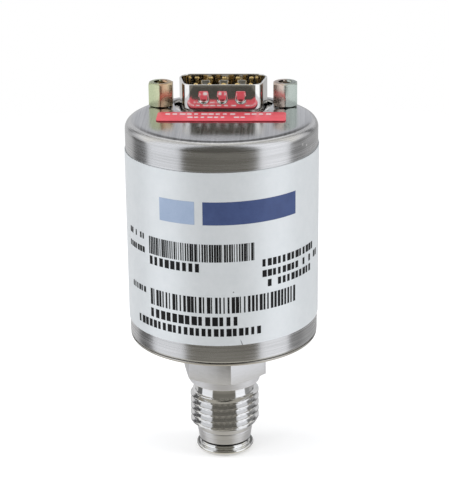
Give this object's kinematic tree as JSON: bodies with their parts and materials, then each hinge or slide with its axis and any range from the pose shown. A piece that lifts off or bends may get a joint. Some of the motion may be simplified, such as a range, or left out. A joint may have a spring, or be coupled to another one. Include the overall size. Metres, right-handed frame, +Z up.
{
  "type": "vacuum pressure switch",
  "caption": "Upright stainless vacuum pressure switch with a D connector and jackscrews on top, wrap and strip labels, and a face-seal fitting with a turning male nut below.",
  "frame": {"origin": "on the fitting's axis at the crest of the sealing bead, the lowest point", "axes": "+Z up along the fitting's axis towards the connector, -Y the front that the strip label faces, +X right"},
  "size_m": [0.0384, 0.0384, 0.0768],
  "materials": {
    "brushed_steel": "horizontally brushed stainless",
    "turned_steel": "fine turned stainless",
    "polished_steel": "polished stainless",
    "tin_plate": "bright tin plate",
    "zinc_chromate": "iridescent yellow zinc plate",
    "gold_plate": "gold plate",
    "brass": "machined",
    "copper": "drawn copper",
    "label_film": "satin polyester film",
    "red_film": "satin red film",
    "black_plastic": "moulded",
    "blue_plastic": "moulded",
    "green_laminate": "solder-masked laminate",
    "ceramic": "matt white",
    "glass": "sealing glass"
  },
  "bodies": {
    "switch_body": {"baffle_plate": "turned_steel", "base": "brushed_steel", "board_link": "black_plastic", "board_screw_1": "tin_plate", "board_screw_2": "tin_plate", "board_screw_3": "tin_plate", "capacitor_1": "brushed_steel", "capacitor_2": "brushed_steel", "clinch_nut_left": "tin_plate", "clinch_nut_right": "tin_plate", "comparator": "black_plastic", "connector_insulator": "black_plastic", "connector_rear_shell": "tin_plate", "connector_shell": "tin_plate", "cover": "brushed_steel", "diaphragm": "polished_steel", "disc_spring": "polished_steel", "electrode_disc": "ceramic", "feedthrough_pin_1": "gold_plate", "feedthrough_pin_2": "gold_plate", "gland": "polished_steel", "glass_seal_1": "glass", "glass_seal_2": "glass", "jackscrew_left": "zinc_chromate", "jackscrew_right": "zinc_chromate", "lower_board": "green_laminate", "pillar_1": "brass", "pillar_2": "brass", "pillar_3": "brass", "pin_1": "gold_plate", "pin_2": "gold_plate", "pin_3": "gold_plate", "pin_4": "gold_plate", "pin_5": "gold_plate", "pin_6": "gold_plate", "pin_7": "gold_plate", "pin_8": "gold_plate", "pin_9": "gold_plate", "pinch_off_tube": "copper", "regulator": "black_plastic", "relay": "ceramic", "sensor_housing": "turned_steel", "sensor_lid": "turned_steel", "sensor_ring": "turned_steel", "spacer_1": "brass", "spacer_2": "brass", "spacer_3": "brass", "strip_label": "red_film", "trim_pot_1": "blue_plastic", "trim_pot_2": "blue_plastic", "upper_board": "green_laminate", "wrap_label": "label_film"},
    "male_nut": {"male_nut": "turned_steel"}
  },
  "joints": [
    {"name": "nut_spin", "type": "hinge", "parent": "switch_body", "child": "male_nut", "pos_m": [0, 0, 0.0125], "axis": [0, 0, 1], "continuous": true}
  ]
}
